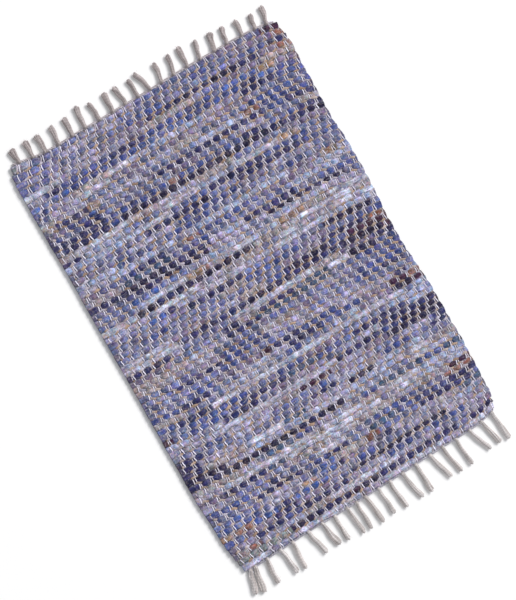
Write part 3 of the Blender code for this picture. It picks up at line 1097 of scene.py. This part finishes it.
def tanColours(across, down, row, rng):
    # the yarn's colour at each warp end: tan, or greyed and lilac where it has faded
    share = np.full(len(across), tanPicks["warmShare"])
    for *place, more in tanPicks["warmPlaces"]:
        share += more * nearness(across, down, place)
    run = tanPicks["run"]
    runs = len(across) // run + 2

    def alongPick(draws):
        return np.repeat(draws, run)[row % run :][: len(across)]

    picked = alongPick(rng.integers(len(tanPicks["warm"]), size=runs))
    warm = (alongPick(rng.uniform(0, 1, runs)) < share)[:, None]
    return np.where(warm, np.array(tanPicks["warm"])[picked], np.array(tanPicks["cool"])[picked])


def tanPick(row, rng):
    # the thin pick between one rag row and the next, over the ends that the next row goes under
    across, down = settled(plan["shares"][0::2], plan["bound"][row + 1][0::2])
    x, y = clothPoint(across, down)
    noise = softNoise(rng, 4, len(x), tanPicks["strayRun"])
    z = weave["middleHeight"] + tanPicks["rise"] - tanPicks["lift"] * plan["lift"][row + 1][0::2]
    y = y - tanPicks["slant"] * plan["pitch"] * plan["crossing"][row + 1]
    swell = 1 + tanPicks["swell"] * noise[1]
    tone = tanColours(across, down, row, rng) * (1 + tanPicks["shadeChange"] * noise[3])[:, None]
    return {
        "path": np.stack([x, y + tanPicks["wander"] * noise[2], z + tanPicks["bob"] * noise[0]], 1),
        "wide": tanPicks["halfWidth"] * swell,
        "high": tanPicks["halfHeight"] * swell,
        "tone": tone,
    }


def weaveTanYarn(material):
    rng = np.random.default_rng(tanPicks["seed"])
    picks = [tanPick(row, rng) for row in range(weave["ragRows"] - 1)]
    return finishPiece(joinStrands("tan_picks", picks, tanPicks["sides"]), material)


warpYarn = {
    "seed": 23,
    "sides": 5,
    "halfWidth": 1.1 * mm,
    "halfHeight": 1.0 * mm,
    "swell": (0.10, 9),          # how much thicker and thinner it is, and the stations to a change
    "shadeChange": (0.25, 1.4),  # from one crossing to the next, and the rows to a change
    "slowShade": 0.10,           # and along the whole end
    "colour": (0.86, 0.82, 0.92),
    "sideways": (0.6 * mm, 1.6),   # how far an end strays, and the rows to a stray
    "overTan": 1.1 * mm,         # height over the middle where it lies on the tan pick
    "underTan": -0.8 * mm,
    "tanPull": 0.4,              # how far it comes back to its own line there
    "bite": 0.25 * mm,           # how far it sinks into a rag
    "ragTop": 0.92,              # of a rag's half height, where the end lies on it
    "hold": 0.60,                # of a row's half height, from the middle of a crossing to its top and bottom
    "drop": 0.5 * mm,            # how much it falls there
    # shift towards its partner in warp spacings, at the top, middle and bottom of a crossing, then rise in mm
    # and painted shade: darker and a little pink where an end has just come up from under the tan pick,
    # lighter where it is about to go down, a little darker elsewhere
    "comingUp": ((0.20, 0.17, 0.07), -0.3, (0.84, 0.79, 0.78)),
    "goingDown": ((0.19, 0.16, -0.06), 0.4, (1.08, 1.08, 1.10)),
    "between": ((0.12, 0.12, 0.06), 0.0, (0.92, 0.90, 0.90)),
    # its tail into a tassel: mm out from the header cord's edge, height in mm, share of the way to the tassel
    "tail": [(-4.2, 3.4, 0.0), (-1.5, 2.2, 0.4), (1.5, 2.8, 1.0), (6.0, 3.0, 1.0)],
    "tailStray": 2.2 * mm,
}


# For each woven end, the way out along Y and its share down the rug.
wovenEnds = {"top": (1, 0.0), "bottom": (-1, 1.0)}


def tasselRoots(side):
    # where each tassel of one end leaves the header cord
    outward, down = wovenEnds[side]
    shares = np.array([t[0] for t in tassels[side]])
    x, y = clothPoint(shares, np.full(len(shares), down))
    return x, y + outward * (rugShape["headerGap"] + rugShape["headerWidth"]), outward


def warpTail(end, side, rng):
    # from the last row under the header cord into the nearest tassel
    x, y, outward = tasselRoots(side)
    near = np.argmin(np.abs(x - end[0]))
    spot = x[near] + rng.uniform(-1, 1) * warpYarn["tailStray"]
    return np.array([
        (end[0] * (1 - over) + spot * over, y[near] + outward * out * mm, height * mm)
        for out, height, over in warpYarn["tail"]
    ])


def crossingPoints(row, end, stray):
    # an end's three points over or under one rag row, with the painted shade it gets there
    station = 2 * end
    over = plan["warpOver"][row][end]
    side = 1 if over else -1
    kind = {1: "comingUp", -1: "goingDown", 0: "between"}[int(plan["crossing"][row][end])]
    # the painted shade of this kind of crossing
    leans, rise, shade = warpYarn[kind]
    towards = {0: 1, 1: -1}.get(int(plan["pairPlace"][row][end]), 0)
    partner = towards * rugShape["wovenWidth"] / weave["warpEnds"]
    reach = warpYarn["hold"] * plan["half"][row][station] / rugShape["wovenLength"]
    onRag = weave["ragHalfHeight"] * warpYarn["ragTop"] + warpYarn["halfHeight"] - warpYarn["bite"]
    crown = weave["middleHeight"] + side * (onRag - weave["ragLift"]) + (rise * mm if over else 0)
    points = []
    for step, lean in zip((-1, 0, 1), leans):
        across, down = settled(plan["shares"][station], plan["centre"][row][station] + step * reach)
        x, y = clothPoint(across, down)
        z = crown - side * abs(step) * warpYarn["drop"]
        points.append((float(x) + stray + partner * lean, float(y), z))
    return points, np.array(shade)


def warpEnd(end, rng):
    # one cotton end from tassel to tassel, over two rag rows and under two
    rows = weave["ragRows"]
    most, spacing = warpYarn["sideways"]
    stray = softNoise(rng, 1, rows, spacing)[0] * most
    most, spacing = warpYarn["shadeChange"]
    change = 1 + most * softNoise(rng, 1, rows, spacing)[0]
    points, shades = [], []
    for row in range(rows):
        found, shade = crossingPoints(row, end, stray[row])
        points += found
        if row < rows - 1:
            across, down = settled(plan["shares"][2 * end], plan["bound"][row + 1][2 * end])
            x, y = clothPoint(across, down)
            x = points[-1][0] + (float(x) - points[-1][0]) * warpYarn["tanPull"]
            height = warpYarn["underTan"] if plan["warpOver"][row + 1][end] else warpYarn["overTan"]
            points.append((x, float(y), weave["middleHeight"] + height))
        shades += [shade * change[row]] * (len(points) - len(shades))
    path = np.array(points)
    upper, lower = warpTail(path[0], "top", rng)[::-1], warpTail(path[-1], "bottom", rng)
    path = np.concatenate([upper, path, lower])
    shades = np.concatenate([np.ones((len(upper), 3)), shades, np.ones((len(lower), 3))])
    most, spacing = warpYarn["swell"]
    noise = softNoise(rng, 2, len(path), spacing)
    return {
        "path": path,
        "wide": warpYarn["halfWidth"] * (1 + most * noise[0]),
        "high": warpYarn["halfHeight"] * (1 + most * noise[0]),
        "tone": shades * np.outer(1 + warpYarn["slowShade"] * noise[1], warpYarn["colour"]),
    }


def stringWarp(material):
    rng = np.random.default_rng(warpYarn["seed"])
    yarns = [warpEnd(end, rng) for end in range(weave["warpEnds"])]
    return joinHalves(("warp_left", "warp_right"), yarns, warpYarn["sides"], material)


headerCord = {
    "seed": 5,
    "sides": 6,
    "radius": 1.25 * mm,
    "swell": 0.12,               # how much thicker and thinner its yarns are
    "shadeChange": 0.12,
    "twist": 9 * mm,             # length of one turn of its two yarns
    "twistChange": 0.6,          # radians that a turn comes early or late
    "flatness": 0.7,
    "reach": (0.004, 0.996),     # share across the rug where it starts and stops
    "stations": 420,
    "strayRun": 14,              # stations to a stray
    "bob": 0.2 * mm,
    "height": 2.8 * mm,
    "colours": {"top": (0.56, 0.50, 0.52), "bottom": (0.46, 0.44, 0.50)},
}


def layHeaderCord(side, material):
    # two yarns twisted round each other along one woven end
    rng = np.random.default_rng(headerCord["seed"])
    outward, down = wovenEnds[side]
    shares = np.linspace(*headerCord["reach"], headerCord["stations"])
    x, y = clothPoint(shares, np.full(len(shares), down))
    y = y + outward * (rugShape["headerGap"] + rugShape["headerWidth"] / 2)
    run = (shares - shares[0]) * rugShape["wovenWidth"]
    noise = softNoise(rng, 3, len(shares), headerCord["strayRun"])
    radius = headerCord["radius"]
    thickness = radius * (1 + headerCord["swell"] * noise[1])
    strands = []
    for yarn in (0, 1):
        angle = fullTurn * run / headerCord["twist"] + yarn * math.pi + headerCord["twistChange"] * noise[2]
        z = headerCord["height"] + np.sin(angle) * radius * headerCord["flatness"]
        strands.append({
            "path": np.stack([x, y + np.cos(angle) * radius, z + headerCord["bob"] * noise[0]], 1),
            "wide": thickness,
            "high": thickness,
            "tone": np.outer(1 + headerCord["shadeChange"] * noise[yarn], headerCord["colours"][side]),
        })
    cord = joinStrands("header_cord_" + side, strands, headerCord["sides"])
    return finishPiece(cord, material)


fringe = {
    "seed": 31,
    "sides": 6,
    "yarns": 5,
    "kink": (1.1 * mm, 5),                     # how far a whole tassel strays, and the stations to a bend
    "stations": 18,
    "rootHalfWidth": (3.6 * mm, 4.0 * mm),     # at the very root and where the tassel leaves the cord
    "rootReach": 0.15,                         # share of the length where that is
    "yarnHalfWidth": (1.35 * mm, 1.85 * mm),   # at the root and at the tip
    "yarnHalfHeight": (1.5 * mm, 1.6 * mm),
    "widthChange": 0.12,
    "heightChange": 0.10,
    "fullTip": 12 * mm,                        # width of a tip whose yarns have their full width
    "strayRun": 4,                             # stations to a stray of a single yarn
    "wander": 0.50,                            # of a yarn's width, sideways
    "bob": 0.3 * mm,
    "shadeChange": 0.20,
    "crown": 1.5 * mm,                         # how much higher the middle yarns lie than the outer ones
    "rest": 4.1 * mm,                          # height of the outer yarns' middle
    "sunk": 5.0 * mm,                          # how far a root reaches back over the header cord
    "rootRise": 1.9 * mm,
    "riseReach": 2.2,                          # in lengths sunk, until the root has come down
    "roundTip": 2.6 * mm,                      # how much shorter the outer yarns are
    "cutTip": 1.2 * mm,                        # and how unevenly all are cut
    "taper": (0.5, 0.6),                       # width of the first and the last station
    "colours": {
        "top": [(0.41, 0.35, 0.345), (0.36, 0.305, 0.30), (0.455, 0.395, 0.39)],
        "bottom": [(0.60, 0.545, 0.525), (0.53, 0.475, 0.46), (0.66, 0.61, 0.60)],
    },
}

# Loose fibres that stand off the tips and sides of the tassels.
fuzz = {
    "each": 14,
    "sides": 3,
    "radius": 0.13 * mm,
    "taper": (1, 0.9, 0.7, 0.4),
    "length": (2 * mm, 5 * mm),
    "stations": 30,                # of the tassel
    "towardsTip": (0.25, 0.45),    # share of the draw left out near the root, power
    "spread": 0.35,                # how much wider they start at the tip than at the root
    "turn": 0.45,                  # radians off the tassel's own heading
    "bend": 0.5,
    "rise": (1.5 * mm, 0.2),       # over the tassel's middle at its root, least share of it
}


def tasselLine(root, outward, lean, turn, length, count):
    # middle line of a tassel lying on the floor, and the direction across it
    gone = np.linspace(0, 1, count)
    heading = np.radians(lean + turn * gone)
    step = length / (count - 1)
    between = (heading[1:] + heading[:-1]) / 2
    x = root[0] + np.concatenate([[0], np.cumsum(np.sin(between) * step)])
    y = root[1] + outward * np.concatenate([[0], np.cumsum(np.cos(between) * step)])
    return gone, x, y, np.cos(heading), -outward * np.sin(heading)


def tasselYarns(root, side, row, rng):
    # a flat bunch of yarns side by side, over the header cord at its root and blunt at its tip
    _, lean, turn, length, tipWidth = row
    outward = wovenEnds[side][0]
    count, sunk = fringe["stations"], fringe["sunk"]
    start = (root[0], root[1] - outward * sunk)
    whole = length * mm + sunk
    colours = fringe["colours"][side]
    most, spacing = fringe["kink"]
    kink = most * softNoise(rng, 1, count, spacing)[0] * np.minimum(1, np.arange(count) / spacing)
    taper = np.ones(count)
    taper[0], taper[-1] = fringe["taper"]
    strands = []
    for place in np.linspace(-1, 1, fringe["yarns"]):
        own = whole - fringe["roundTip"] * place**2 - rng.uniform(0, 1) * fringe["cutTip"]
        gone, x, y, acrossX, acrossY = tasselLine(start, outward, lean, turn, own, count)
        noise = softNoise(rng, 4, count, fringe["strayRun"])
        wide = np.interp(gone, (0, 1), fringe["yarnHalfWidth"]) * (1 + fringe["widthChange"] * noise[0])
        wide *= 0.5 + 0.5 * tipWidth * mm / fringe["fullTip"]
        high = np.interp(gone, (0, 1), fringe["yarnHalfHeight"]) * (1 + fringe["heightChange"] * noise[0])
        bunch = np.interp(gone, (0, fringe["rootReach"], 1), (*fringe["rootHalfWidth"], tipWidth * mm / 2))
        sway = kink + place * (bunch - wide) + fringe["wander"] * wide * noise[1]
        overCord = np.clip(1 - gone * whole / (fringe["riseReach"] * sunk), 0, 1)
        z = fringe["rest"] + fringe["crown"] * (1 - place**2)
        z = z + fringe["rootRise"] * np.sin(math.pi * overCord)
        shade = 1 + fringe["shadeChange"] * noise[3]
        strands.append({
            "path": np.stack([x + acrossX * sway, y + acrossY * sway, z + fringe["bob"] * noise[2]], 1),
            "wide": wide * taper,
            "high": high * taper,
            "tone": np.outer(shade, colours[rng.integers(len(colours))]),
        })
    return strands


def tasselFibres(root, side, row, rng):
    _, lean, turn, length, tipWidth = row
    outward = wovenEnds[side][0]
    colours = fringe["colours"][side]
    stations = fuzz["stations"]
    gone, x, y, acrossX, acrossY = tasselLine(root, outward, lean, turn, length * mm, stations)
    radius = fuzz["radius"] * np.array(fuzz["taper"])
    strands = []
    for _ in range(fuzz["each"]):
        bare, power = fuzz["towardsTip"]
        at = int((stations - 1) * rng.uniform(bare, 1.0) ** power)
        start = 1 - fuzz["spread"] * (1 - gone[at])
        sway = rng.uniform(-0.5, 0.5) * tipWidth * mm * start
        reach = rng.uniform(*fuzz["length"])
        heading = math.radians(lean + turn * gone[at]) + rng.normal(0, fuzz["turn"]) + sway / (tipWidth * mm)
        bend = rng.normal(0, fuzz["bend"])
        steps = np.linspace(0, 1, len(radius))
        rise, least = fuzz["rise"]
        strands.append({
            "path": np.stack([
                x[at] + acrossX[at] * sway + reach * steps * np.sin(heading + bend * steps),
                y[at] + acrossY[at] * sway + outward * reach * steps * np.cos(heading + bend * steps),
                fringe["rest"] + rise * (1 - steps) * rng.uniform(least, 1.0, len(steps)),
            ], 1),
            "wide": radius,
            "high": radius,
            "tone": np.outer(np.ones(len(radius)), colours[rng.integers(len(colours))]),
        })
    return strands


def hangTassels(side, material):
    # the tassels of one end, and their fuzz as a piece of its own
    rng = np.random.default_rng(fringe["seed"] + (side == "top"))
    x, y, _ = tasselRoots(side)
    yarns, fibres = [], []
    for *root, row in zip(x, y, tassels[side]):
        yarns += tasselYarns(root, side, row, rng)
        fibres += tasselFibres(root, side, row, rng)
    pieces = [
        joinStrands("tassels_" + side, yarns, fringe["sides"]),
        joinStrands("tassel_fuzz_" + side, fibres, fuzz["sides"]),
    ]
    return [finishPiece(piece, material) for piece in pieces]


looseThreads = {
    "seed": 77,
    "sides": 4,
    "frays": 1700,
    "radius": 0.38 * mm,
    "radiusChange": (0.6, 1.3),
    "span": (3, 10),             # stations
    "margin": (2, 12),           # stations kept clear at the left and right selvedge
    "lean": 1.0 * mm,
    "onRag": 1.02,               # of a rag's half height
    "least": 2.0 * mm,           # over the middle of the weave
    "ownColour": 0.65,           # against the colour of the cloth it lies on
    "tip": 0.4,                  # of the thickness
    "colours": [
        (0.62, 0.60, 0.68),
        (0.030, 0.022, 0.085),
        (0.36, 0.20, 0.14),
        (0.50, 0.47, 0.56),
        (0.16, 0.13, 0.34),
    ],
    "longHeight": 4.3 * mm,      # over the middle of the weave
    "longBob": (0.6 * mm, 5),    # rise and fall, and the stations to one
    "stationsEach": 6,           # to each point of a long thread
    # a few that hang free: cloth, radius in mm, then share across and rag row of each point
    "long": [
        ("ink", 0.45, [(0.447, 56.0), (0.449, 56.7), (0.448, 57.4), (0.444, 58.1), (0.441, 58.9)]),
        ("chalk", 0.40, [(0.200, 7.8), (0.225, 8.3), (0.245, 8.9), (0.262, 9.6), (0.290, 10.3)]),
        ("navy", 0.50, [(0.330, 60.3), (0.336, 59.8), (0.352, 59.4), (0.385, 59.2), (0.425, 59.3)]),
        ("chalk", 0.45, [(0.205, 16.9), (0.235, 16.6), (0.270, 16.8), (0.305, 17.4)]),
        ("sky", 0.55, [(0.700, 36.1), (0.735, 35.6), (0.775, 35.2), (0.815, 35.1)]),
    ],
}


def frayedThread(rng):
    # a short thread that lies along a torn strip
    row = rng.integers(weave["ragRows"])
    left, right = looseThreads["margin"]
    start = rng.integers(left, len(plan["shares"]) - right)
    span = rng.integers(*looseThreads["span"])
    picked = np.arange(start, start + span)
    lean = rng.normal(0, 1.0) * looseThreads["lean"]
    offset = rng.uniform(-1, 1) * plan["half"][row][picked] + lean * np.linspace(-1, 1, span)
    across, down = settled(plan["shares"][picked], plan["centre"][row][picked])
    x, y = clothPoint(across, down)
    top = weave["ragLift"] * plan["ragLift"][row][picked] + weave["ragHalfHeight"] * looseThreads["onRag"]
    own = looseThreads["ownColour"]
    colours = looseThreads["colours"]
    colour = (1 - own) * plan["cloths"][row][0][picked] + own * np.array(colours[rng.integers(len(colours))])
    radius = np.full(span, looseThreads["radius"] * rng.uniform(*looseThreads["radiusChange"]))
    radius[0] = radius[-1] = radius[0] * looseThreads["tip"]
    z = weave["middleHeight"] + np.maximum(top, looseThreads["least"])
    return {"path": np.stack([x, y + offset, z], 1), "wide": radius, "high": radius, "tone": colour}


def longThread(cloth, thickness, spots, rng):
    # a long thread that hangs free over the rags
    knots = np.array(spots)
    fine = np.linspace(0, len(knots) - 1, looseThreads["stationsEach"] * len(knots))
    table = np.column_stack([np.arange(len(knots)), knots])
    across, rowPlace = smoothRead(table, fine, 1), smoothRead(table, fine, 2)
    x, y = clothPoint(across, (rowPlace + 0.5) / weave["ragRows"])
    bob, spacing = looseThreads["longBob"]
    z = weave["middleHeight"] + looseThreads["longHeight"] + bob * softNoise(rng, 1, len(fine), spacing)[0]
    radius = np.full(len(fine), thickness * mm)
    radius[-1] *= looseThreads["tip"]
    tone = np.outer(np.ones(len(fine)), clothColours[cloth])
    return {"path": np.stack([x, y, z], 1), "wide": radius, "high": radius, "tone": tone}


def layLooseThreads(material):
    rng = np.random.default_rng(looseThreads["seed"])
    threads = [frayedThread(rng) for _ in range(looseThreads["frays"])]
    threads += [longThread(*row, rng) for row in looseThreads["long"]]
    return finishPiece(joinStrands("loose_threads", threads, looseThreads["sides"]), material)


studio = {
    "floorColour": (0.930, 0.915, 0.905, 1),
    "floorFinish": {"roughness": 0.9, "sheen": 0.0},
    "floorGrain": (3, 1.0),        # to a metre, detail
    "floorShades": (0.99, 1.0),
    "floorSize": 14,
    "skyColour": (0.93, 0.96, 1.0, 1),
    "skyStrength": 0.56,
    "keyPlace": (17.96, 5.86, 14.80),
    "keySize": 9.5,
    "keyPower": 5800,
}


def layFloor():
    # a plain pale floor just under the rug
    bpy.ops.mesh.primitive_plane_add(size=studio["floorSize"])
    floor = bpy.context.active_object
    floor.name = "floor"
    material, tree, shader = startMaterial("pale_floor", studio["floorFinish"])
    grain = solidNoise(tree, *studio["floorGrain"])
    colour = shadeBy(tree, studio["floorColour"], grain, studio["floorShades"])
    tree.links.new(colour, shader.inputs["Base Color"])
    floor.data.materials.append(material)


def lightStudio():
    # one broad lamp to the rug's right and an even pale sky
    world = bpy.data.worlds.new("studio")
    world.use_nodes = True
    world.node_tree.nodes["Background"].inputs[0].default_value = studio["skyColour"]
    world.node_tree.nodes["Background"].inputs[1].default_value = studio["skyStrength"]
    bpy.context.scene.world = world
    lamp = bpy.data.lights.new("key", "AREA")
    lamp.size, lamp.energy = studio["keySize"], studio["keyPower"]
    holder = bpy.data.objects.new("key", lamp)
    holder.location = studio["keyPlace"]
    holder.rotation_euler = (-Vector(studio["keyPlace"])).to_track_quat("-Z", "Y").to_euler()
    bpy.context.scene.collection.objects.link(holder)
    bpy.context.scene.view_settings.view_transform = "Standard"


cameraPlace = {
    "aim": (-0.0118, 0.0015, 0.0),
    "distance": 3.627,
    "around": -105.73,     # degrees from the rug's bottom end
    "above": 71.03,
    "roll": 75.31,
    "lens": 114.0,
}


def placeCamera():
    # straight at the rug from above its left side, turned in its own plane by the roll
    around, above, roll = (math.radians(cameraPlace[k]) for k in ("around", "above", "roll"))
    back = Vector((math.cos(above) * math.sin(around), -math.cos(above) * math.cos(around), math.sin(above)))
    right = Vector((0, 0, 1)).cross(back).normalized()
    up = back.cross(right)
    turnedRight = right * math.cos(roll) + up * math.sin(roll)
    turnedUp = up * math.cos(roll) - right * math.sin(roll)
    lens = bpy.data.cameras.new("camera")
    lens.lens = cameraPlace["lens"]
    holder = bpy.data.objects.new("camera", lens)
    bpy.context.scene.collection.objects.link(holder)
    turn = Matrix((turnedRight, turnedUp, back)).transposed().to_4x4()
    place = Vector(cameraPlace["aim"]) + back * cameraPlace["distance"]
    holder.matrix_world = Matrix.Translation(place) @ turn
    bpy.context.scene.camera = holder


placeCamera()
lightStudio()
layFloor()
print("studio ready")

ground = weaveGround(makeGroundCloth())
print("packed middle of the weave ready")

ragCloth = makeRagCloth()
ragHalves = weaveRags(ragCloth)
threads = layLooseThreads(ragCloth)
print("rag rows ready:", sum(len(p.data.polygons) for p in ragHalves), "faces")

tanYarn = weaveTanYarn(makeYarn("tan_yarn", juteFinish))
print("tan picks ready:", len(tanYarn.data.polygons), "faces")

warpCotton = makeYarn("warp_cotton", cottonFinish)
warpHalves = stringWarp(warpCotton)
print("warp ready:", sum(len(p.data.polygons) for p in warpHalves), "faces")

tasselCotton = makeYarn("tassel_cotton", tasselFinish)
fringePieces = {}
for side in ("top", "bottom"):
    fringePieces[side] = [layHeaderCord(side, warpCotton), *hangTassels(side, tasselCotton)]
print("fringes ready:", sum(len(p.data.polygons) for both in fringePieces.values() for p in both), "faces")

for piece in (ground, *ragHalves, tanYarn, *warpHalves, threads):
    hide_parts("rug_cloth")
for side, node in (("top", "fringe_top"), ("bottom", "fringe_bottom")):
    for piece in fringePieces[side]:
        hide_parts(node)
